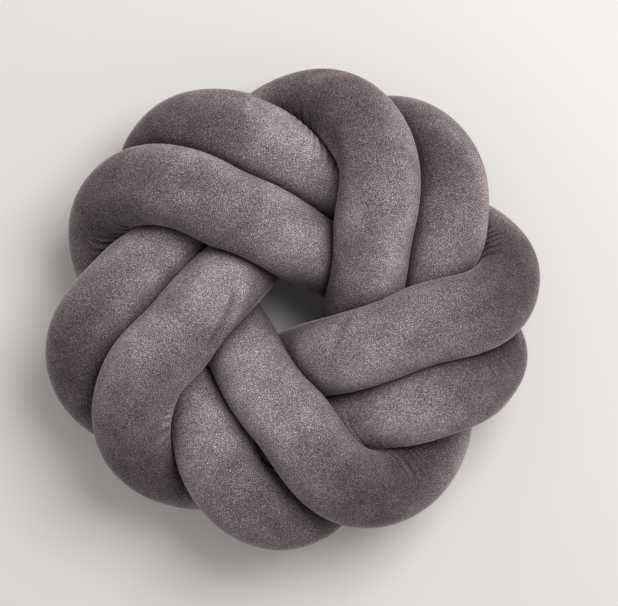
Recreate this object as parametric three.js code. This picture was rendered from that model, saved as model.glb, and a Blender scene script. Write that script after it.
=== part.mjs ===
// A knot cushion: one long stuffed velvet tube, laid in a ring of ten runs that pass over and
// under each other round a five-sided hole, and closed end to end. Millimetres, +Z up. The
// cushion lies on its back: its flattened underside is at z = 0, under the middle of its box.

import * as THREE from "three";

// ---- Driving dimensions ----

const TUBE_RADIUS = 28.5; // of the stuffed tube's round section, where nothing presses on it
const SQUEEZE = 0.06; // share of its radius that the tube loses where it dives between others
const SQUEEZE_LENGTH = 45; // of strand on both sides of the dive over which it narrows
const FLATTENING = 0.15; // share that the outside of the sharpest bend loses, where cloth is taut
const RUN_SPACING = 54; // least distance between the centre lines of two runs
const LAYER_STRETCH = 1.15; // how much closer runs lie when one is on top of the other
const INNER_LAYER = 36; // height of an inner run over the middle plane, before it is pulled tight
const OUTER_LAYER = 18; // the same for an outer run, which lies lower on the ring's shoulder
const MOST_LAYER = 42; // height that no run's centre line passes, because the knot lies flat
const FLOOR_LEVEL = -66; // the surface it lies on, from the middle plane
const RUN_GAP = 1.2; // left between runs that press on each other
const ROUNDING = 3; // of the edges round a pressed face

// Each run is a straight chord that a round bend at the rim leads into. A chord is placed by
// the angle and the length of its normal from the centre. Runs are listed clockwise round the
// ring: inner and outer ones take turns, and each pair crosses the ring side by side.
const RUNS = [
  { chord_deg: 64, chord_mm: 41.5, bend_mm: 41 },
  { chord_deg: 66.5, chord_mm: 97, bend_mm: 45 },
  { chord_deg: -9, chord_mm: 48.5, bend_mm: 50.5 },
  { chord_deg: -2.5, chord_mm: 107, bend_mm: 44 },
  { chord_deg: -72.5, chord_mm: 41, bend_mm: 28.5 },
  { chord_deg: -68.5, chord_mm: 93.5, bend_mm: 20 },
  { chord_deg: -145.5, chord_mm: 43, bend_mm: 46 },
  { chord_deg: -151.5, chord_mm: 97, bend_mm: 41.5 },
  { chord_deg: -221, chord_mm: 46, bend_mm: 49 },
  { chord_deg: -220, chord_mm: 97.5, bend_mm: 39 },
];
const INNER_SKIP = 5; // places that the strand moves on round the ring after an inner run
const OUTER_SKIP = 3; // and after an outer one

// ---- How finely it is worked out ----

const STEPS = 288; // sections along the strand
const SIDES = 16; // corners of a section
const PATH_PIECES = 24; // short straights in each arc or half chord of the first layout
const FINER = 4; // points for each section, where the distance to other runs is measured
const OWN_LENGTH = 90; // of strand on both sides of a section that can't press on it

// ---- Small helpers ----

const vector = (x, y, z = 0) => new THREE.Vector3(x, y, z);
const wrap = (index, count) => ((index % count) + count) % count;

function normalOf(degrees) {
  const angle = THREE.MathUtils.degToRad(degrees);
  return vector(Math.cos(angle), Math.sin(angle));
}

function meanStep(points) {
  const steps = points.map((point, i) => point.distanceTo(points[wrap(i + 1, points.length)]));
  return steps.reduce((sum, step) => sum + step, 0) / points.length;
}

function tangents(points) {
  return points.map((_, i) => {
    const after = points[wrap(i + 1, points.length)];
    return after.clone().sub(points[wrap(i - 1, points.length)]).normalize();
  });
}

// The half-way points of both neighbours, as seen from each point.
function sags(points) {
  return points.map((point, i) => {
    const before = points[wrap(i - 1, points.length)];
    const after = points[wrap(i + 1, points.length)];
    return before.clone().add(after).multiplyScalar(0.5).sub(point);
  });
}

// ---- The strand's first layout ----

const RISE = 1.5; // how steeply a run climbs to its layer and leaves it

const isInner = (run) => run % 2 === 0;
const nextRun = (run) => wrap(run + (isInner(run) ? INNER_SKIP : OUTER_SKIP), RUNS.length);

// The order in which the strand passes through the runs.
function travelOrder() {
  const order = [0];
  while (order.length < RUNS.length) {
    order.push(nextRun(order[order.length - 1]));
  }
  return order;
}

// The bend from one run's chord into the next: an arc that touches both, turning clockwise.
function bendBetween(from, to) {
  const radius = RUNS[to].bend_mm;
  const a = normalOf(RUNS[from].chord_deg);
  const b = normalOf(RUNS[to].chord_deg);
  const reachA = RUNS[from].chord_mm - radius;
  const reachB = RUNS[to].chord_mm - radius;
  const cross = a.x * b.y - a.y * b.x;
  const centre = vector((reachA * b.y - reachB * a.y) / cross, (reachB * a.x - reachA * b.x) / cross);
  const startDeg = RUNS[from].chord_deg;
  const turn = wrap(startDeg - RUNS[to].chord_deg, 360);
  return { centre, radius, startDeg, middleDeg: startDeg - turn / 2, endDeg: startDeg - turn };
}

function arcPoints({ centre, radius }, startDeg, endDeg) {
  return Array.from({ length: PATH_PIECES + 1 }, (_, i) => {
    const degrees = THREE.MathUtils.lerp(startDeg, endDeg, i / PATH_PIECES);
    return normalOf(degrees).multiplyScalar(radius).add(centre);
  });
}

function straightPoints(start, end) {
  return Array.from({ length: PATH_PIECES }, (_, i) => start.clone().lerp(end, (i + 1) / PATH_PIECES));
}

// Lengths in plan from the first point to each of them.
function lengthsAlong(points) {
  const lengths = [0];
  for (let i = 1; i < points.length; i += 1) {
    const step = Math.hypot(points[i].x - points[i - 1].x, points[i].y - points[i - 1].y);
    lengths.push(lengths[i - 1] + step);
  }
  return lengths;
}

// A stretch rises to its layer, stays there and comes back to the middle plane.
function liftStretch(points, height) {
  const lengths = lengthsAlong(points);
  const whole = lengths[lengths.length - 1];
  points.forEach((point, i) => {
    point.z = height * Math.min(1, RISE * Math.sin((Math.PI * lengths[i]) / whole));
  });
  return points;
}

// From the middle of its bend to the middle of its chord, a run lies on the front. The rest of
// the chord and half of the next bend lie on the back.
function firstLayout() {
  return travelOrder().flatMap((run) => {
    const before = RUNS.findIndex((_, i) => nextRun(i) === run);
    const bendIn = bendBetween(before, run);
    const bendOut = bendBetween(run, nextRun(run));
    const middle = normalOf(RUNS[run].chord_deg).multiplyScalar(RUNS[run].chord_mm);
    const arcIn = arcPoints(bendIn, bendIn.middleDeg, bendIn.endDeg);
    const arcOut = arcPoints(bendOut, bendOut.startDeg, bendOut.middleDeg);
    const front = [...arcIn, ...straightPoints(arcIn[arcIn.length - 1], middle)];
    const back = [middle.clone(), ...straightPoints(middle, arcOut[0]), ...arcOut.slice(1)];
    const layer = isInner(run) ? INNER_LAYER : OUTER_LAYER;
    return [...liftStretch(front, layer), ...liftStretch(back, -layer)];
  });
}

// The same closed line with a given number of points, evenly spaced in plan.
function spaceEvenly(points, count) {
  const loop = [...points, points[0]];
  const lengths = lengthsAlong(loop);
  const whole = lengths[lengths.length - 1];
  let piece = 0;
  return Array.from({ length: count }, (_, i) => {
    const target = (whole * i) / count;
    while (lengths[piece + 1] <= target) {
      piece += 1;
    }
    const part = (target - lengths[piece]) / (lengths[piece + 1] - lengths[piece]);
    return loop[piece].clone().lerp(loop[piece + 1], part);
  });
}

// ---- Pulling the knot tight ----

const PULLS = 400; // rounds of pulling
const CONTACT_PUSH = 0.175; // share of an overlap that one round takes away
const PLAN_HOLD = 0.15; // how firmly the strand keeps its layout, seen from above
const SINKING = 0.01; // how fast the layers close up
const STIFFNESS = 0.2; // how firmly the stuffing resists a sharp bend
const SPREADING = 0.5; // how fast the points even out along the strand

// How far each point is pushed by the runs that come too close to it.
function contactPushes(points, reach) {
  return points.map((point, i) => {
    const push = vector(0, 0);
    let touching = 0;
    points.forEach((other, j) => {
      const apart = Math.abs(i - j);
      if (Math.min(apart, points.length - apart) <= reach) return;
      const x = point.x - other.x;
      const y = point.y - other.y;
      const z = (point.z - other.z) * LAYER_STRETCH;
      const distance = Math.hypot(x, y, z);
      if (distance >= RUN_SPACING) return;
      push.addScaledVector(vector(x, y, z), (RUN_SPACING - distance) / distance);
      touching += 1;
    });
    return push.multiplyScalar(CONTACT_PUSH / Math.sqrt(Math.max(touching, 1)));
  });
}

function pullTight(layout) {
  const points = layout.map((point) => point.clone());
  const reach = OWN_LENGTH / meanStep(points);
  for (let round = 0; round < PULLS; round += 1) {
    contactPushes(points, reach).forEach((push, i) => {
      const point = points[i].add(push);
      point.x += PLAN_HOLD * (layout[i].x - point.x);
      point.y += PLAN_HOLD * (layout[i].y - point.y);
      point.z = THREE.MathUtils.clamp(point.z * (1 - SINKING), -MOST_LAYER, MOST_LAYER);
    });
    const sag = sags(points);
    sags(sag).forEach((bend, i) => points[i].addScaledVector(bend, -STIFFNESS));
    const along = tangents(points);
    points.forEach((point, i) => point.addScaledVector(along[i], SPREADING * sag[i].dot(along[i])));
  }
  return points;
}

// ---- The tube's sections ----

const NEIGHBOUR_REACH = 3 * TUBE_RADIUS; // no run further off than this presses on a section
const BEND_SHARE = 0.97; // of the strand's own bend radius that the tube fills on its inside

// The directions of a section's corners: square to the strand, counted from the one that points
// away from the middle of the knot.
function spokes(centre, along) {
  const outward = centre.clone().addScaledVector(along, -centre.dot(along)).normalize();
  const sideways = outward.clone().cross(along);
  return Array.from({ length: SIDES }, (_, i) => {
    const angle = (2 * Math.PI * i) / SIDES;
    return outward.clone().multiplyScalar(Math.cos(angle)).addScaledVector(sideways, Math.sin(angle));
  });
}

// How sharply the strand bends at each point, as a vector towards the middle of the bend.
function curvatures(strand) {
  const step = meanStep(strand);
  return sags(strand).map((sag) => sag.multiplyScalar(2 / step ** 2));
}

// How far each spoke may reach: to the planes half way to other runs, and to less than the
// radius of the strand's own bend.
function spokeLimits(strand, along, curvature) {
  const curve = new THREE.CatmullRomCurve3(strand, true, "catmullrom", 0.5);
  const fineCount = strand.length * FINER;
  const fine = Array.from({ length: fineCount }, (_, i) => curve.getPoint(i / fineCount));
  const reach = OWN_LENGTH / meanStep(strand);
  return strand.map((centre, i) => {
    const offsets = fine
      .filter((other, j) => {
        const apart = Math.abs(i - j / FINER);
        const own = Math.min(apart, strand.length - apart) <= reach;
        return !own && other.distanceTo(centre) < NEIGHBOUR_REACH;
      })
      .map((other) => other.clone().sub(centre));
    return spokes(centre, along[i]).map((spoke) => {
      const planes = offsets
        .filter((offset) => offset.dot(spoke) > 0)
        .map((offset) => offset.lengthSq() / (2 * offset.dot(spoke)) - RUN_GAP / 2);
      const inward = curvature[i].dot(spoke);
      return Math.min(inward > 0 ? BEND_SHARE / inward : Infinity, ...planes);
    });
  });
}

// The smaller of two lengths, with a rounded step between them.
function roundedMin(a, b) {
  if (a === Infinity) return b;
  const share = THREE.MathUtils.clamp(0.5 + (b - a) / (2 * ROUNDING), 0, 1);
  return b + (a - b) * share - ROUNDING * share * (1 - share);
}

// A run dives from the front to the back at the middle of its chord, squeezed by the others.
// This is what is left of the tube's radius at each point of the strand.
function squeezedRadii(layout) {
  const step = meanStep(layout);
  const dives = RUNS.map(({ chord_deg, chord_mm }) => {
    const middle = normalOf(chord_deg).multiplyScalar(chord_mm);
    const distances = layout.map((point) => Math.hypot(point.x - middle.x, point.y - middle.y));
    return distances.indexOf(Math.min(...distances));
  });
  return layout.map((_, i) => {
    const apart = dives.map((dive) => Math.min(wrap(i - dive, layout.length), wrap(dive - i, layout.length)));
    return TUBE_RADIUS * (1 - SQUEEZE * Math.exp(-(((Math.min(...apart) * step) / SQUEEZE_LENGTH) ** 2)));
  });
}

// The outside of a bend is stretched flatter. This is what is left of the radius on a spoke.
function tautShare(curvature, spoke) {
  const outward = THREE.MathUtils.clamp(-TUBE_RADIUS * curvature.dot(spoke), 0, 1);
  return 1 - FLATTENING * outward ** 2;
}

// ---- The solid ----

// A section's corners. What would reach below the floor is pressed flat on it.
function sectionCorners(centre, along, curvature, limits, radius) {
  return spokes(centre, along).map((spoke, i) => {
    const reach = roundedMin(limits[i], radius * tautShare(curvature, spoke));
    const corner = centre.clone().addScaledVector(spoke, reach);
    if (corner.z < FLOOR_LEVEL) {
      corner.addScaledVector(spoke, (FLOOR_LEVEL - corner.z) / spoke.z);
      corner.z = FLOOR_LEVEL;
    }
    return corner;
  });
}

function cushionGeometry() {
  const layout = spaceEvenly(firstLayout(), STEPS);
  const strand = pullTight(layout);
  const along = tangents(strand);
  const curvature = curvatures(strand);
  const limits = spokeLimits(strand, along, curvature);
  const radii = squeezedRadii(layout);
  const corners = strand.flatMap((centre, i) =>
    sectionCorners(centre, along[i], curvature[i], limits[i], radii[i]),
  );
  const faces = [];
  for (let i = 0; i < STEPS; i += 1) {
    const here = i * SIDES;
    const there = wrap(i + 1, STEPS) * SIDES;
    for (let j = 0; j < SIDES; j += 1) {
      const k = wrap(j + 1, SIDES);
      faces.push(here + j, there + j, there + k);
      faces.push(here + j, there + k, here + k);
    }
  }
  const geometry = new THREE.BufferGeometry().setFromPoints(corners);
  geometry.setIndex(faces);
  geometry.computeBoundingBox();
  const middle = geometry.boundingBox.getCenter(vector(0, 0));
  geometry.translate(-middle.x, -middle.y, -FLOOR_LEVEL);
  geometry.computeVertexNormals();
  return geometry;
}

const velvet = new THREE.MeshStandardMaterial({ color: 0x7b7177, roughness: 0.95, metalness: 0 });
const cushion = new THREE.Mesh(cushionGeometry(), velvet);
cushion.name = "knotted_tube";

const part = new THREE.Group();
part.name = "knot_cushion";
part.add(cushion);

export default part;
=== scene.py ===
# %% [markdown]
# # A knot cushion, one piece at a time
#
# The real object is one long sleeve of short-pile velvet, stuffed with fibre, knotted over and
# under itself round a small five-sided hole and closed end to end. Everything that shows is
# that one tube, so the lesson is about two things: how to work out the surface of a soft tube
# that is pressed by its own neighbours, and how to make velvet look like velvet.
#
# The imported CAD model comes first. It is the fixed frame: it says where the cushion lies and
# how big it is, and the finished tube takes the place of its plain solid.

# %% Load the frame
import math

import bpy
import numpy as np
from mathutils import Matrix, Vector


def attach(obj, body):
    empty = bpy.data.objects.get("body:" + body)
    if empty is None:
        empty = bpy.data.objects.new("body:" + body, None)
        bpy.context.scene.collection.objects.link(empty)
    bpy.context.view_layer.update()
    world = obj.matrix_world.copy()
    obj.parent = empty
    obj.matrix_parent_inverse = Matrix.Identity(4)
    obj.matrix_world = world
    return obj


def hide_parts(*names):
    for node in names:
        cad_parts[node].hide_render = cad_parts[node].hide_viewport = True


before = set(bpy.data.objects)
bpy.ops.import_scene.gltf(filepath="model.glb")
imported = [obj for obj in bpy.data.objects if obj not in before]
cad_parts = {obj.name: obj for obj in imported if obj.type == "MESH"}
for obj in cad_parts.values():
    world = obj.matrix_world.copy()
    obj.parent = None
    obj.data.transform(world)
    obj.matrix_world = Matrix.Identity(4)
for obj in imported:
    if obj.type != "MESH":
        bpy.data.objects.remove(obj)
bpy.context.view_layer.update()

MM = 0.001  # metres in a millimetre

# %% [markdown]
# ## Camera
#
# A cushion like this is shown square to its face. The cushion lies on its back, so the camera
# hangs over it and looks straight down, with +Y up in the picture. It could be an orthographic
# camera, but a real lens at arm's length makes the near runs a little larger than the far
# ones, and that is part of the look. The distance and the width of the view at the cushion's
# middle plane are real sizes, and the lens follows from them.

# %% Hang the camera over the cushion
CAMERA_DISTANCE = 1300 * MM  # from the cushion's middle plane
VIEW_WIDTH = 440.5 * MM  # what the long side of the picture spans at the middle plane
VIEW_CENTRE = (11.4 * MM, 4.3 * MM)  # point of the cushion under the middle of the picture
MIDDLE_HEIGHT = 66 * MM  # of the cushion's middle plane over the floor

camera_data = bpy.data.cameras.new("camera")
camera_data.lens = camera_data.sensor_width * CAMERA_DISTANCE / VIEW_WIDTH
camera = bpy.data.objects.new("camera", camera_data)
camera.location = (*VIEW_CENTRE, MIDDLE_HEIGHT + CAMERA_DISTANCE)
bpy.context.scene.collection.objects.link(camera)
bpy.context.scene.camera = camera
print(f"lens: {camera_data.lens:.0f} mm")

# %% [markdown]
# ## The strand's layout
#
# The tube follows one closed line. Seen from above, the line is made of ten straight chords
# joined by ten round bends at the rim, so each run needs only three numbers: the angle and the
# length of the chord's normal from the centre, and the radius of the bend that leads into it.
# It could be drawn by hand as a curve with many control points, but then every change to the
# knot would mean moving dozens of them. Chords and bends keep the runs straight and the rim
# round by themselves.
#
# The strand doesn't visit the runs in the order in which they lie round the ring. After an
# inner run it moves on five places, after an outer one three. That visits all ten runs once.

# %% Lay out the chords and bends
#           chord_deg  chord_mm  bend_mm, clockwise round the ring, inner and outer in turn
RUNS = np.array([
    (64, 41.5, 41),
    (66.5, 97, 45),
    (-9, 48.5, 50.5),
    (-2.5, 107, 44),
    (-72.5, 41, 28.5),
    (-68.5, 93.5, 20),
    (-145.5, 43, 46),
    (-151.5, 97, 41.5),
    (-221, 46, 49),
    (-220, 97.5, 39),
], float)
CHORD_DEG, CHORD_MM, BEND_MM = RUNS.T
INNER_SKIP, OUTER_SKIP = 5, 3
INNER_LAYER, OUTER_LAYER = 36, 18  # first height of a run over the middle plane
RISE = 1.5  # how steeply a run climbs to its layer and leaves it
PATH_PIECES = 24  # short straights in each arc or half chord
STEPS = 288  # points along the strand


def next_run(run):
    return (run + (OUTER_SKIP if run % 2 else INNER_SKIP)) % len(RUNS)


def normal_of(degrees):
    """The unit vector in plan at an angle: its cosine and its sine."""
    angle = np.radians(degrees)
    return np.stack([np.cos(angle), np.sin(angle)], -1)


def bend_between(start, end):
    """The arc that touches two chords. Its centre lies one bend radius inside both, so it is
    where two lines meet, and the arc turns clockwise from one normal to the other."""
    radius = BEND_MM[end]
    normals = normal_of(CHORD_DEG[[start, end]])
    centre = np.linalg.solve(normals, CHORD_MM[[start, end]] - radius)
    turn = (CHORD_DEG[start] - CHORD_DEG[end]) % 360
    return lambda t: centre + radius * normal_of(CHORD_DEG[start] - turn * t)


def lift(points, height):
    """Gives a stretch its height: a sine hump along its length, cut off flat at the top."""
    step = np.linalg.norm(np.diff(points, axis=0), axis=1)
    along = np.r_[0, np.cumsum(step)] / step.sum()
    return np.c_[points, height * np.minimum(1, RISE * np.sin(np.pi * along))]


def first_layout():
    """For each run, the front stretch goes from the middle of its bend to the middle of its
    chord, and the back stretch goes on to the middle of the next bend."""
    order = [0]
    while len(order) < len(RUNS):
        order.append(next_run(order[-1]))
    before = {next_run(run): run for run in order}
    t = np.linspace(0, 1, PATH_PIECES + 1)
    stretches = []
    for run in order:
        bend_in, bend_out = bend_between(before[run], run), bend_between(run, next_run(run))
        middle = normal_of(CHORD_DEG[run]) * CHORD_MM[run]
        arc_in, arc_out = bend_in(0.5 + t / 2), bend_out(t / 2)
        line_in = arc_in[-1] + (middle - arc_in[-1]) * t[1:, None]
        line_out = middle + (arc_out[0] - middle) * t[:, None]
        layer = OUTER_LAYER if run % 2 else INNER_LAYER
        stretches.append(lift(np.r_[arc_in, line_in], layer))
        stretches.append(lift(np.r_[line_out, arc_out[1:]], -layer))
    return np.concatenate(stretches)


def space_evenly(points, count):
    """The same closed line with points at equal steps of its length in plan."""
    loop = np.r_[points, points[:1]]
    length = np.r_[0, np.cumsum(np.linalg.norm(np.diff(loop[:, :2], axis=0), axis=1))]
    wanted = length[-1] * np.arange(count) / count
    return np.stack([np.interp(wanted, length, column) for column in loop.T], 1)


layout = space_evenly(first_layout(), STEPS)
print("strand in plan, mm:", round(np.linalg.norm(np.diff(layout[:, :2], axis=0), axis=1).sum()))

# %% [markdown]
# ## Pulling the knot tight
#
# The first layout lets the runs pass through each other. On the real cushion the tube is as
# thick as it is, so runs that cross push each other up, down and aside until all of them fit.
# A physics engine could do this with a chain of balls. A few rules repeated a few hundred
# times do it as well, and give the same result every time: points of different runs that are
# too close push apart, each point is drawn back to its place in plan, the layers sink
# together, and the stuffing resists sharp bends.

# %% Push the runs apart and let them settle
RUN_SPACING = 54  # least distance between the centre lines of two runs
LAYER_STRETCH = 1.15  # how much closer runs lie when one is on top of the other
MOST_LAYER = 42  # height that no centre line passes, because the knot lies flat
OWN_LENGTH = 90  # of strand on both sides of a point that can't press on it
PULLS = 400
CONTACT_PUSH, PLAN_HOLD, SINKING, STIFFNESS, SPREADING = 0.175, 0.15, 0.01, 0.2, 0.5


def mean_step(points):
    return np.linalg.norm(np.roll(points, -1, 0) - points, axis=1).mean()


def sags(points):
    """The half-way point of both neighbours, as seen from each point of a closed line."""
    return (np.roll(points, 1, 0) + np.roll(points, -1, 0)) / 2 - points


def unit(vectors):
    return vectors / np.linalg.norm(vectors, axis=-1, keepdims=True)


def tangents(points):
    """From the neighbour before to the neighbour after, at unit length."""
    return unit(np.roll(points, -1, 0) - np.roll(points, 1, 0))


def pull_tight(start):
    """Every pair of points that is too close pushes both apart by a share of the overlap,
    divided by the square root of how many pairs a point is in, so that crowds stay calm."""
    points = start.copy()
    index = np.arange(len(points))
    apart = np.abs(index[:, None] - index)
    apart = np.minimum(apart, len(points) - apart)
    may_touch = apart > OWN_LENGTH / mean_step(points)
    for _ in range(PULLS):
        offset = (points[:, None] - points) * (1, 1, LAYER_STRETCH)
        distance = np.linalg.norm(offset, axis=-1) + 1e-9
        overlap = np.where(may_touch, np.maximum(RUN_SPACING - distance, 0), 0)
        push = ((overlap / distance)[..., None] * offset).sum(1)
        touching = np.maximum((overlap > 0).sum(1), 1)
        points += CONTACT_PUSH * push / np.sqrt(touching)[:, None]
        points[:, :2] += PLAN_HOLD * (start - points)[:, :2]
        points[:, 2] = np.clip(points[:, 2] * (1 - SINKING), -MOST_LAYER, MOST_LAYER)
        sag = sags(points)
        points -= STIFFNESS * sags(sag)
        along = tangents(points)
        points += SPREADING * (sag * along).sum(1, keepdims=True) * along
    return points


strand = pull_tight(layout)
print("tube length, mm:", round(mean_step(strand) * STEPS))
print("layers, mm:", strand[:, 2].min().round(1), "to", strand[:, 2].max().round(1))

# %% [markdown]
# ## The tube's sections
#
# A free tube has round sections. Where two runs press on each other, the cloth between them
# lies flat, half way between their centre lines, and the fibre behind it packs closer. That
# is a rule which numpy can work out for every section at once. A cloth simulation with
# pressure would find much the same shape, but the knot touches itself in twenty-five places,
# and self-collision that tight takes minutes and trembles.
#
# Each section has spokes. A spoke may reach to the plane half way to any other run, and on
# the inside of a bend to a little less than the bend's own radius. The smaller of that limit
# and the tube's radius, with a rounded step between them, is how far the spoke goes.

# %% Work out how far each spoke may reach
TUBE_RADIUS = 28.5  # where nothing presses on the tube
NEIGHBOUR_REACH = 3 * TUBE_RADIUS  # no run further off than this presses on a section
BEND_SHARE = 0.97  # of the bend's own radius that the tube fills on its inside
CHUNK = 48  # sections worked out at a time, to keep the arrays small


def finer(values, times):
    """Closed Catmull-Rom interpolation: a cubic through each value whose slope there is half
    the step from the value before to the value after."""
    place = np.arange(len(values) * times) / times
    index = place.astype(int)
    part = (place - index).reshape(-1, *[1] * (values.ndim - 1))
    a, b, c, d = (np.take(values, index + shift, axis=0, mode="wrap") for shift in (-1, 0, 1, 2))
    bent = 2 * a - 5 * b + 4 * c - d + part * (3 * (b - c) + d - a)
    return b + part / 2 * (c - a + part * bent)


def spokes(centres, along, sides):
    """Unit vectors square to the strand. The first points away from the middle of the knot:
    it is the centre's own direction with its part along the strand taken away."""
    outward = unit(centres - (centres * along).sum(1, keepdims=True) * along)
    sideways = np.cross(outward, along)
    angle = 2 * np.pi * np.arange(sides)[None, :, None] / sides
    return outward[:, None] * np.cos(angle) + sideways[:, None] * np.sin(angle)


def spoke_limits(centres, spoke, curvature, others, gap):
    """To the plane half way to another point: half its squared distance over how far it lies
    along the spoke, less half the gap. On the inside of a bend: one over the curvature."""
    limits = np.full(spoke.shape[:2], np.inf)
    own = OWN_LENGTH / mean_step(others)
    other_index = np.arange(len(others))
    for first in range(0, len(centres), CHUNK):
        part = slice(first, first + CHUNK)
        index = np.arange(len(centres))[part] * len(others) / len(centres)
        apart = np.abs(index[:, None] - other_index)
        offset = others - centres[part, None]
        square = (offset**2).sum(-1)
        near = (np.minimum(apart, len(others) - apart) > own) & (square < NEIGHBOUR_REACH**2)
        reach = np.einsum("ijk,isk->ijs", offset, spoke[part])
        faces = near[..., None] & (reach > 0)
        planes = np.where(faces, square[..., None] / (2 * np.where(faces, reach, 1)), np.inf)
        limits[part] = planes.min(1) - gap / 2
    inward = (curvature[:, None] * spoke).sum(-1)
    bend = np.where(inward > 0, BEND_SHARE / np.where(inward > 0, inward, 1), np.inf)
    return np.minimum(limits, bend)


strand_curvature = 2 * sags(strand) / mean_step(strand) ** 2
FINER = 4  # how many fine sections stand for one of the strand's points
fine_strand = finer(strand, FINER)
most_curvature = np.linalg.norm(strand_curvature, axis=1).max()
print("tightest bend of the strand, mm:", (1 / most_curvature).round(1))

# %% [markdown]
# ## Where the tube is slimmer
#
# Where a run dives from the front to the back, five others squeeze it, and the tube is
# slimmer there. A bell curve round each dive takes a share of the radius away. And on the
# outside of a bend the cloth is pulled taut and flattens a little, as a bent hose does, so
# the rim of the knot isn't quite round.

# %% Work out how thick the tube is
SQUEEZE, SQUEEZE_LENGTH = 0.06, 45  # share of the radius, and mm of strand on both sides
FLATTENING = 0.15  # share that the outside of the sharpest bend loses
ROUNDING = 3  # of the edges round a pressed face


def rounded_min(a, b):
    """The smaller of two lengths. Within one rounding of each other, a parabola joins them."""
    share = np.clip(0.5 + (b - np.minimum(a, 1e6)) / (2 * ROUNDING), 0, 1)
    return b + (np.minimum(a, 1e6) - b) * share - ROUNDING * share * (1 - share)


def steps_to(places, count):
    """For each of the strand's points, how many steps away the nearest of the places is."""
    apart = np.abs(np.arange(count)[:, None] - places)
    return np.minimum(apart, count - apart).min(1)


def taut_share(curvature, spoke):
    """What a spoke keeps of its radius in a bend: one, less the square of tube radius over
    bend radius as it is on the spoke's outer side, times the flattening."""
    outward = np.clip(-TUBE_RADIUS * (curvature[:, None] * spoke).sum(-1), 0, 1)
    return 1 - FLATTENING * outward**2


chord_middles = normal_of(CHORD_DEG) * CHORD_MM[:, None]
dives = np.linalg.norm(layout[:, None, :2] - chord_middles, axis=-1).argmin(0)
dive_distance = steps_to(dives, STEPS) * mean_step(layout)
radius = TUBE_RADIUS * (1 - SQUEEZE * np.exp(-((dive_distance / SQUEEZE_LENGTH) ** 2)))
print("radius, mm:", radius.min().round(1), "to", radius.max().round(1))

# %% [markdown]
# ## The sleeve's surface
#
# The surface is a grid: one way it runs along the tube, the other way round it. The CAD solid
# has 288 sections of 16 corners, and the finished sleeve has eight times as many sections with
# 80 corners, worked out by the same rules, so it lies on the solid and only adds what the
# solid is too coarse to hold. The same could be had by subdividing the solid, but that would
# round off the creases where two runs meet, and they are the sharpest thing to be seen.

# %% Lay the fine grid on the strand
AROUND = 80  # corners of a fine section
ALONG_AGAIN = 2  # how many times the fine sections are split once more
TOUCH_GAP = 0.3  # left between runs that touch, so that no cloth passes through cloth
SOFTENING = 2  # rounds of evening out the reach, as the pile does to an edge
MOST_ROOM = 10  # mm between a point and its neighbour, above which it counts as free


def soften(grid):
    """Each value with a quarter of both neighbours, first along the tube and then round it."""
    for axis in (0, 1):
        grid = grid / 2 + (np.roll(grid, 1, axis) + np.roll(grid, -1, axis)) / 4
    return grid


curvature = finer(strand_curvature, FINER)
fine_spokes = spokes(fine_strand, tangents(fine_strand), AROUND)
limits = spoke_limits(fine_strand, fine_spokes, curvature, fine_strand, TOUCH_GAP)
fine_radius = finer(radius, FINER)[:, None] * taut_share(curvature, fine_spokes)
reach = rounded_min(limits, fine_radius)
for _ in range(SOFTENING):
    reach = soften(reach)
surface = finer(fine_strand[:, None] + fine_spokes * reach[..., None], ALONG_AGAIN)
inward = finer((curvature[:, None] * fine_spokes).sum(-1) * reach, ALONG_AGAIN)
freedom = finer(np.clip(limits - fine_radius, -MOST_ROOM, MOST_ROOM), ALONG_AGAIN)
ROWS = len(surface)
print("grid:", surface.shape[:2], " widest spacing along, mm:",
      np.linalg.norm(np.roll(surface, -1, 0) - surface, axis=-1).max().round(2))

# %% [markdown]
# The floor presses the underside flat, and the whole grid moves to where the CAD solid lies:
# its box is centred over the origin, and its underside is at z = 0.

# %% Set it down on the floor
FLOOR_LEVEL = -66  # under the strand's middle plane


def centre_over_origin(points):
    """Moves the box's centre over the origin and the floor level to zero."""
    low, high = points.min((0, 1)), points.max((0, 1))
    return points - [(low[0] + high[0]) / 2, (low[1] + high[1]) / 2, FLOOR_LEVEL]


surface[..., 2] = np.maximum(surface[..., 2], FLOOR_LEVEL)
surface = centre_over_origin(surface)
print("sleeve box, mm:", (surface.max((0, 1)) - surface.min((0, 1))).round(1))


def grid_normals(points):
    """The cross product of the step round the tube and the step along it, outwards."""
    along_step = np.roll(points, -1, 0) - np.roll(points, 1, 0)
    around_step = np.roll(points, -1, 1) - np.roll(points, 1, 1)
    normals = np.cross(along_step, around_step)
    return normals / (np.linalg.norm(normals, axis=-1, keepdims=True) + 1e-9)


normals = grid_normals(surface)
outside = (normals * (surface - surface.mean(1, keepdims=True))).sum(-1)
print("normals that point outwards:", f"{(outside > 0).mean():.3f}")

# %% [markdown]
# ## The sleeve laid out straight
#
# Many things on the sleeve follow the cloth and not the room: lumps of the filling, the lie of
# the pile, the join. For those, every point of the grid also gets the place that it had
# before the sleeve was knotted, when it was a straight tube: its angle round the tube and its
# length from the join. A UV map could hold that, but it would have a seam down the whole tube.
# A vector for each point, on a straight tube in space, has none.

# %% Find each point's place on the straight sleeve
JOIN_PLACE = 1761.5  # along the strand from the first bend, mm
JOIN_SLANT = 10  # how far one side of the join lies ahead of its middle, mm
JOIN_SLANT_DEG = 185  # the side of the tube that lies ahead

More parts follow.
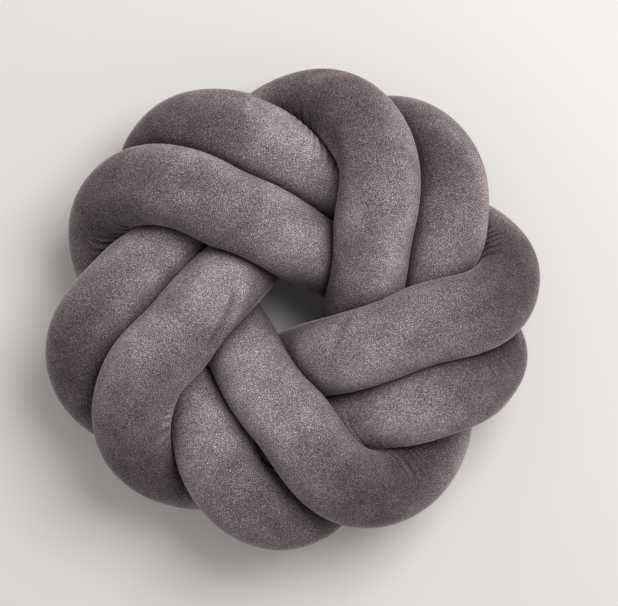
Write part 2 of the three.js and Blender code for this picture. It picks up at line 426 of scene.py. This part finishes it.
step_along = np.linalg.norm(np.roll(fine_strand, -1, 0) - fine_strand, axis=1)
TUBE_LENGTH = step_along.sum()
row_length = TUBE_LENGTH * np.arange(ROWS)[:, None] / ROWS
angle = 2 * np.pi * np.arange(AROUND)[None] / AROUND
join_line = JOIN_PLACE + JOIN_SLANT * np.cos(angle - math.radians(JOIN_SLANT_DEG))
from_join = (row_length - join_line) % TUBE_LENGTH
past_join = np.where(from_join > TUBE_LENGTH / 2, from_join - TUBE_LENGTH, from_join)
across, upright = TUBE_RADIUS * np.cos(angle), TUBE_RADIUS * np.sin(angle)
sleeve = np.stack(np.broadcast_arrays(across, upright, from_join), -1)
print("tube length, mm:", TUBE_LENGTH.round())

# %% [markdown]
# ## Unevenness, puckers, dents and the join
#
# Fibre filling is never even, so the sleeve gets shallow swells a few centimetres long. On the
# inside of each bend there is more cloth than room, and it folds into fine puckers square to
# the tube. The hands that knotted it left a few dents. All of these are moves of the grid's
# points along their normals, because they change the outline and how the light falls. A bump
# map would change neither the outline nor the mesh.

# %% Swell and sink the sleeve with its filling
SWELL_COUNT, SWELL_SEED = 18, 4
SWELL_MM = 0.13  # height of each of the waves
SWELL_SHORTEST, SWELL_LONGEST = 38, 130
PRESSED, FREE = -5, 6  # mm of room at which the cloth can't swell, and at which it can
FLOOR_NEAR, FLOOR_CLEAR = 0.5, 10  # heights between which swells come in


def soft_step(values, low, high):
    """From 0 to 1 between two values, by three squares less two cubes."""
    t = np.clip((values - low) / (high - low), 0, 1)
    return t * t * (3 - 2 * t)


def swells(points):
    """A sum of sine waves through space. Their directions, lengths and phases are drawn once,
    from a seed, so that they are the same each time."""
    draw = np.random.default_rng(SWELL_SEED)
    direction = unit(draw.normal(size=(SWELL_COUNT, 3)))
    wavelength = draw.uniform(SWELL_SHORTEST, SWELL_LONGEST, SWELL_COUNT)
    phase = draw.uniform(0, 2 * np.pi, SWELL_COUNT)
    return np.sin(2 * np.pi * (points @ direction.T) / wavelength + phase).sum(-1)


free = soft_step(freedom, PRESSED, FREE)  # 0 where runs press on each other, 1 elsewhere
off_floor = soft_step(surface[..., 2], FLOOR_NEAR, FLOOR_CLEAR)
moves = SWELL_MM * swells(sleeve) * free * off_floor
print("swells, mm:", moves.min().round(2), "to", moves.max().round(2))

# %% Pucker the insides of the bends
PUCKER_SPACING = 6.5  # along the strand. On the inside of a bend they lie closer
PUCKER_DEPTH = 2.0  # of the deepest ones
PUCKER_WANDER = 1.1  # radians that the spacing wanders by
TIGHT_FROM, TIGHT_TO = 0.2, 0.55  # reach over bend radius where puckers start and are full
#   from x, y, z      to x, y, z       width of the fan of puckers that shows there, in mm
PUCKER_FANS = np.array([
    (63, -100, 93, 82, -111, 96, 6),
    (6, 137, 91, 31, 100, 104, 6),
    (-85, -69, 115, -89, -90, 106, 6),
], float)
FAN_SHARE = 0.65  # of the full depth


def distance_to_line(points, start, end):
    """How far points lie from a stretch between two ends: from its nearest point, which is
    the foot of the perpendicular, held between the ends."""
    stretch = end - start
    share = np.clip(((points - start) @ stretch) / (stretch @ stretch), 0, 1)
    return np.linalg.norm(points - start - share[..., None] * stretch, axis=-1)


tightness = soft_step(inward, TIGHT_FROM, TIGHT_TO)
wander = PUCKER_WANDER * (np.sin(row_length / 7.3 + angle) + np.sin(row_length / 11.9 - 2 * angle))
valleys = np.abs(np.sin(np.pi * row_length / PUCKER_SPACING + wander)) - 1
strength = 0.55 + 0.45 * np.sin(row_length / 17 + 1.5 * np.sin(row_length / 41))
puckered = tightness * strength
for fan in PUCKER_FANS:
    bell = np.exp(-((distance_to_line(surface, fan[:3], fan[3:6]) / fan[6]) ** 2))
    puckered = np.maximum(puckered, FAN_SHARE * bell)
moves += PUCKER_DEPTH * valleys * puckered
print("pucker depth, mm:", (PUCKER_DEPTH * valleys * puckered).min().round(2))

# %% Press the dents and draw the join in
#   from x, y, z        to x, y, z           width  depth, all in mm
DENTS = np.array([
    (35, -7, 118, 28, -25, 123, 4.0, 1.9),
    (53, 2, 117, 53, -4, 125, 2.8, 0.7),
    (-38, 9, 116, -55, -25, 118, 4.0, 2.8),
    (-115, 56, 98, -125, 60, 103, 1.4, 1.2),
    (73, -110, 101, 79, -107, 95, 4.0, 0.9),
    (3, -45, 118, 5, -48, 119, 2.8, 0.9),
    (60, 95, 12, 48, 84, 9, 4.5, 1.6),
    (-96, -22, 14, -88, -36, 11, 4.0, 1.5),
    (92, -40, 16, 84, -52, 12, 4.5, 1.4),
], float)
JOIN_WIDTH, JOIN_DEPTH = 1.1, 0.45
JOIN_STITCH = 4.5  # length of the hand stitches that close the sleeve
GATHER_REACH, GATHER_HEIGHT = 5, 0.15  # of the gathers that the stitches make

dented = np.zeros_like(moves)
for dent in DENTS:
    bell = np.exp(-((distance_to_line(surface, dent[:3], dent[3:6]) / dent[6]) ** 2))
    dented += dent[7] * bell
moves -= dented
join_groove = np.exp(-((past_join / JOIN_WIDTH) ** 2))
stitches = np.sin(2 * np.pi * TUBE_RADIUS * angle / JOIN_STITCH)
join_gather = np.exp(-((past_join / GATHER_REACH) ** 2)) * stitches
moves += free * (GATHER_HEIGHT * join_gather - JOIN_DEPTH * join_groove)
surface += normals * moves[..., None]
surface[..., 2] = np.maximum(surface[..., 2], 0)
surface -= [*((surface.max((0, 1)) + surface.min((0, 1)))[:2] / 2), 0]
print("moves, mm:", moves.min().round(2), "to", moves.max().round(2))

# %% [markdown]
# ## How the pile lies, and the shade painted into the colour
#
# Velvet is dark when you look into its pile and light when you look across it. All the pile
# leans one way along the sleeve. Where the tube climbs over the rim, the pile stands up out of
# the knot towards the camera and the lamp, and where it dives towards the hole, it lies across.
# The lie is the cloth's own, and the dark rim and light runs that it shows from above are
# painted into the colour as shade. From behind it's the same, with the tube running the other
# way. The crowded pile inside a bend gets painted shade too, and so do creases, dents and the
# pucker valleys, while the pucker ridges get painted light. Small dark marks show where the pile
# was pushed over, and wider strips are lighter or darker. All of it is stored as one number for
# each point, to be read by the material: the natural logarithm of how much lighter or darker
# the colour is there.

# %% Work out how the pile lies and the painted shade
PILE_LEAN = 1.0  # how far the pile leans along the tube, for each step that it stands up
PILE_AND_SHADE_BY_RISE, PILE_AND_SHADE_BY_RISE_SQUARED = 0.82, -1.76  # painted shade of the pile seen from above: what its rise and the rise's square add
CROWDED_PILE_AND_SHADE = -0.19  # added on the inside of the sharpest bend: crowded pile and painted shade
ASLANT_PILE_AND_SHADE = -0.14  # added on one side of each run: painted shade where the pile leans a little sideways
CREASE_PAINTED_SHADE, CREASE_REACH = -0.75, 4.5  # painted shade added where two runs meet, and how far out of there, mm
PILE_ROWS = 10  # fine sections on both sides that the tube's direction is averaged over
BEHIND, IN_FRONT = -0.5, 0.1  # upright part of a normal that counts as the back or the front
STEEP, LEVEL = 0.15, 0.75  # upright part between which the painted crease shade falls on the lower run
PUCKER_SHADE = 1.5  # painted shade in a pucker's valley and painted light on its ridge
DENT_SHADE = 0.16  # painted shade for each millimetre of a dent
JOIN_BRUSH = 0.10  # the pile was brushed apart at the join
JOIN_BRUSH_LENGTH = 22
# Small dark marks where the pile was pushed over, and wider lighter and darker strips.
#   from x, y, z     to x, y, z          width in mm, how much lighter
TONE_STRIPS = np.array([
    (14, 62, 104, 20, 64, 106, 6, -0.3),
    (24, 47, 98, 29, 52, 102, 6, -0.25),
    (62, 65, 131, 70, 69, 129, 6, -0.22),
    (48, 44, 124, 54, 52, 127, 6, -0.25),
    (31, 122, 112, 36, 42, 118, 7, -0.3),
    (101, -11, 116, 142, 6, 104, 12, 0.22),
    (22, -30, 120, 76, -44, 122, 9, -0.14),
    (101, 131, 92, 129, 88, 92, 9, 0.35),
    (4, 158, 92, 36, 162, 88, 8, 0.3),
    (22, -120, 100, 76, -140, 88, 12, 0.2),
    (-36, -146, 80, 26, -160, 76, 10, -0.22),
    (155, -26, 84, 152, -46, 84, 8, -0.25),
    (112, -93, 90, 122, -110, 84, 8, -0.22),
    (-128, -41, 88, -97, 13, 96, 7, -0.25),
], float)


def averaged_along(values, rows):
    """A moving average along the tube. Its weights fall off as a raised cosine does."""
    weights = 1 + np.cos(np.pi * np.arange(-rows, rows + 1) / (rows + 1))
    return sum(w * np.roll(values, i - rows, 0) for i, w in enumerate(weights)) / weights.sum()


along_tube = finer(averaged_along(tangents(fine_strand), PILE_ROWS), ALONG_AGAIN)[:, None]
facing = grid_normals(surface)
rise = unit(facing + PILE_LEAN * along_tube)[..., 2]
seen_from = 2 * soft_step(facing[..., 2], BEHIND, IN_FRONT) - 1  # 1 in front and -1 behind
sideways = np.cross(facing, along_tube)[..., 2]
# The pile's rise paints the shade it shows from above: darker where it stands straight up at the
# eye and the lamp, lighter where it lies across.
lie_and_shade = PILE_AND_SHADE_BY_RISE * rise * seen_from + PILE_AND_SHADE_BY_RISE_SQUARED * rise**2
# Crowded pile with painted shade inside the bends, and painted shade on one side of each run where
# the pile leans sideways.
lie_and_shade += CROWDED_PILE_AND_SHADE * inward + ASLANT_PILE_AND_SHADE * sideways
# Painted shade where two runs meet, strongest on the lower run's more level faces.
crease_shade = np.exp(-np.clip(freedom, 0, None) / CREASE_REACH)
lie_and_shade += CREASE_PAINTED_SHADE * crease_shade * soft_step(abs(facing[..., 2]), STEEP, LEVEL)
lie_and_shade += JOIN_BRUSH * np.sign(past_join) * np.exp(-np.abs(past_join) / JOIN_BRUSH_LENGTH)
for mark in TONE_STRIPS:
    lie_and_shade += mark[7] * np.exp(-((distance_to_line(surface, mark[:3], mark[3:6]) / mark[6]) ** 2))
# Painted shade in the pucker valleys and the dents, painted light on the pucker ridges.
lie_and_shade += PUCKER_SHADE * (valleys + 0.5) * puckered - DENT_SHADE * dented
print("lie of the pile:", lie_and_shade.min().round(2), "to", lie_and_shade.max().round(2))

# %% [markdown]
# ## The mesh
#
# The grid closes on itself both ways, like a ring, so there are no open edges and no poles.
# Each face joins a point to the next one along the tube and the next one round it.

# %% Make the mesh
def closed_tube(name, points):
    """A mesh object from a grid of points in millimetres that closes along and round. The
    faces' corners run along the tube first and then round it, which points them outwards."""
    rows, columns = points.shape[:2]
    here = np.arange(rows * columns).reshape(rows, columns)
    there = np.roll(here, -1, 0)
    corners = np.stack([here, there, np.roll(there, -1, 1), np.roll(here, -1, 1)], -1).ravel()
    mesh = bpy.data.meshes.new(name)
    mesh.vertices.add(rows * columns)
    mesh.vertices.foreach_set("co", (points * MM).astype(np.float32).ravel())
    mesh.loops.add(len(corners))
    mesh.loops.foreach_set("vertex_index", corners.astype(np.int32))
    mesh.polygons.add(rows * columns)
    mesh.polygons.foreach_set("loop_start", np.arange(0, len(corners), 4, dtype=np.int32))
    mesh.update(calc_edges=True)
    mesh.shade_smooth()
    piece = bpy.data.objects.new(name, mesh)
    bpy.context.scene.collection.objects.link(piece)
    return piece


def point_attribute(piece, name, values):
    """Stores a number or a vector for each point of a piece's mesh."""
    kind, field = ("FLOAT_VECTOR", "vector") if values.ndim == 3 else ("FLOAT", "value")
    attribute = piece.data.attributes.new(name, kind, "POINT")
    attribute.data.foreach_set(field, values.astype(np.float32).ravel())


tube = closed_tube("velvet_tube", surface)
point_attribute(tube, "sleeve", sleeve * MM)
# The stored number holds the lie of the pile and the shade painted into the colour.
point_attribute(tube, "pile_lie_and_painted_shade", lie_and_shade)
print("faces:", len(tube.data.polygons), " valid as it is:", not tube.data.validate())

# %% [markdown]
# ## Velvet
#
# This is short-pile polyester velvet, knitted and sheared. The pile is about 1.5 mm high. To
# the eye that means three things: hardly any gloss, a pale sheen where the surface turns away,
# and a colour that shifts from light to dark with the lie of the pile. A cloud of real fibres
# would need millions of hairs. A rough surface with sheen, three sizes of noise and the stored
# lie of the pile, with its shade painted into the colour, gives the same look.

# %% Node helpers
def linear(hex_colour):
    """An sRGB hex colour as linear red, green, blue and an alpha of 1."""
    parts = [int(hex_colour[i : i + 2], 16) / 255 for i in (1, 3, 5)]
    return [*((c / 12.92 if c <= 0.04045 else ((c + 0.055) / 1.055) ** 2.4) for c in parts), 1.0]


def new_material(name):
    material = bpy.data.materials.new(name)
    material.use_nodes = True
    material.node_tree.nodes.clear()
    return material


def node(material, kind, inputs=None, **settings):
    """Adds a node. Settings are its own properties. Each input is a value, or another node's
    output that is linked to it."""
    new = material.node_tree.nodes.new("ShaderNode" + kind)
    for name, value in settings.items():
        setattr(new, name, value)
    for name, value in (inputs or {}).items():
        if isinstance(value, bpy.types.NodeSocket):
            material.node_tree.links.new(value, new.inputs[name])
        else:
            new.inputs[name].default_value = value
    return new


def per_metre(millimetres):
    """A noise texture's scale for patches of a given size."""
    return 1 / (millimetres * MM)


print("mid grey in linear light:", [round(c, 3) for c in linear("#7b7177")[:3]])

# %% The velvet's material
GRAIN_MM = 0.48  # tufts of the pile, a little coarser than the real 0.4 mm, so that they show
TUFT_PATCH_MM = 14  # small patches where the pile was touched
BRUSHED_MM = 32  # wide patches where the cloth was stroked
GRAIN_TONE, PATCH_TONE, BRUSHED_TONE = 5.6, 0.6, 0.9  # how strongly each changes the tone
NOISE_DETAIL = 0.5
DRAWN_OUT = 0.5  # the brushed patches are twice as long as wide
SHADED_HUE, LIT_HUE = "#695c60", "#676062"  # hues of shaded and of lit places, equally bright; the shaded one is warmer, a painted tint of bounced light
HUE_MIDDLE, HUE_SHIFT = 0.7, 0.5  # share of the lit hue at tone 0, and what a tone of 1 adds
TUFT_HEIGHT, TUFT_STRENGTH = 0.3 * MM, 0.5
PILE_ROUGHNESS, PILE_GLOSS, FIBRE_IOR = 0.95, 0.1, 1.45
PILE_SHEEN, SHEEN_ROUGHNESS, SHEEN_COLOUR = 0.45, 0.2, "#e8d8dc"

velvet = new_material("sheared_polyester_velvet")
place = node(velvet, "TexCoord").outputs["Object"]
straight = node(velvet, "Attribute", attribute_name="sleeve").outputs["Vector"]
# the pile's lie with its painted shade, as a natural logarithm
tone = node(velvet, "Attribute", attribute_name="pile_lie_and_painted_shade").outputs["Fac"]
stretch = {0: straight, 1: (1, 1, DRAWN_OUT)}
drawn_out = node(velvet, "VectorMath", stretch, operation="MULTIPLY").outputs[0]
layers = [
    (place, GRAIN_MM, GRAIN_TONE),
    (place, TUFT_PATCH_MM, PATCH_TONE),
    (drawn_out, BRUSHED_MM, BRUSHED_TONE),
]
noises = []
for where, size, amount in layers:
    settings = {"Vector": where, "Scale": per_metre(size), "Detail": NOISE_DETAIL}
    noise = node(velvet, "TexNoise", settings).outputs["Fac"]
    shifted = node(velvet, "Math", {0: noise, 1: 0.5}, operation="SUBTRACT").outputs[0]
    added = {0: shifted, 1: amount, 2: tone}
    tone = node(velvet, "Math", added, operation="MULTIPLY_ADD").outputs[0]
    noises.append(noise)
# The darker the tone, the warmer the hue: a painted tint of warm light bounced into the shade.
hue_share = {0: tone, 1: HUE_SHIFT, 2: HUE_MIDDLE}
share = node(velvet, "Math", hue_share, operation="MULTIPLY_ADD").outputs[0]
hues = {0: share, 6: linear(SHADED_HUE), 7: linear(LIT_HUE)}
hue = node(velvet, "Mix", hues, data_type="RGBA").outputs[2]
times = node(velvet, "Math", {0: tone}, operation="EXPONENT").outputs[0]
colour = node(velvet, "VectorMath", {0: hue, "Scale": times}, operation="SCALE").outputs[0]
bump = {"Height": noises[0], "Strength": TUFT_STRENGTH, "Distance": TUFT_HEIGHT}
tufts = node(velvet, "Bump", bump)
shader = node(velvet, "BsdfPrincipled", {
    "Base Color": colour,
    "Normal": tufts.outputs["Normal"],
    "Roughness": PILE_ROUGHNESS,
    "IOR": FIBRE_IOR,
    "Specular IOR Level": PILE_GLOSS,
    "Sheen Weight": PILE_SHEEN,
    "Sheen Roughness": SHEEN_ROUGHNESS,
    "Sheen Tint": linear(SHEEN_COLOUR),
})
node(velvet, "OutputMaterial", {"Surface": shader.outputs[0]})
tube.data.materials.append(velvet)
print("velvet nodes:", len(velvet.node_tree.nodes))

# %% [markdown]
# ## Floor and light
#
# The cushion lies on a pale matt floor. The light is one wide soft box high over the cushion,
# a little to one side of the camera, so that each run shades the run beside it and the creases
# go dark, with a pale, even surround that keeps the rim readable.

# %% Lay the floor
FLOOR_SIZE = 4.0
FLOOR_COLOUR = "#c4c1be"

floor_mesh = bpy.data.meshes.new("floor")
half = FLOOR_SIZE / 2
floor_corners = [(-half, -half, 0), (half, -half, 0), (half, half, 0), (-half, half, 0)]
floor_mesh.from_pydata(floor_corners, [], [(0, 1, 2, 3)])
floor = bpy.data.objects.new("floor", floor_mesh)
bpy.context.scene.collection.objects.link(floor)

matt_paper = new_material("matt_backdrop_paper")
paper = node(matt_paper, "BsdfPrincipled", {"Base Color": linear(FLOOR_COLOUR), "Roughness": 0.9})
node(matt_paper, "OutputMaterial", {"Surface": paper.outputs[0]})
floor_mesh.materials.append(matt_paper)

# %% Light it
SOFT_BOX_SIZE = 0.9
SOFT_BOX_PLACE = (0.6, 0.6, 1.47)
SOFT_BOX_WATTS = 30
SURROUND = 0.64

soft_box = bpy.data.lights.new("soft_box", "AREA")
soft_box.size, soft_box.energy = SOFT_BOX_SIZE, SOFT_BOX_WATTS
lamp = bpy.data.objects.new("soft_box", soft_box)
lamp.location = SOFT_BOX_PLACE
lamp.rotation_euler = (-Vector(SOFT_BOX_PLACE)).to_track_quat("-Z", "Y").to_euler()
bpy.context.scene.collection.objects.link(lamp)

world = bpy.data.worlds.new("pale_surround")
world.use_nodes = True
background = world.node_tree.nodes["Background"]
background.inputs["Color"].default_value = (SURROUND, SURROUND, SURROUND, 1)
bpy.context.scene.world = world
bpy.context.scene.view_settings.view_transform = "Standard"
print("light:", SOFT_BOX_WATTS, "W")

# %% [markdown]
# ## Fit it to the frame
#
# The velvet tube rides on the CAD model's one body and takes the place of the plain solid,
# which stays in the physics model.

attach(tube, "root")
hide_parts("knotted_tube")
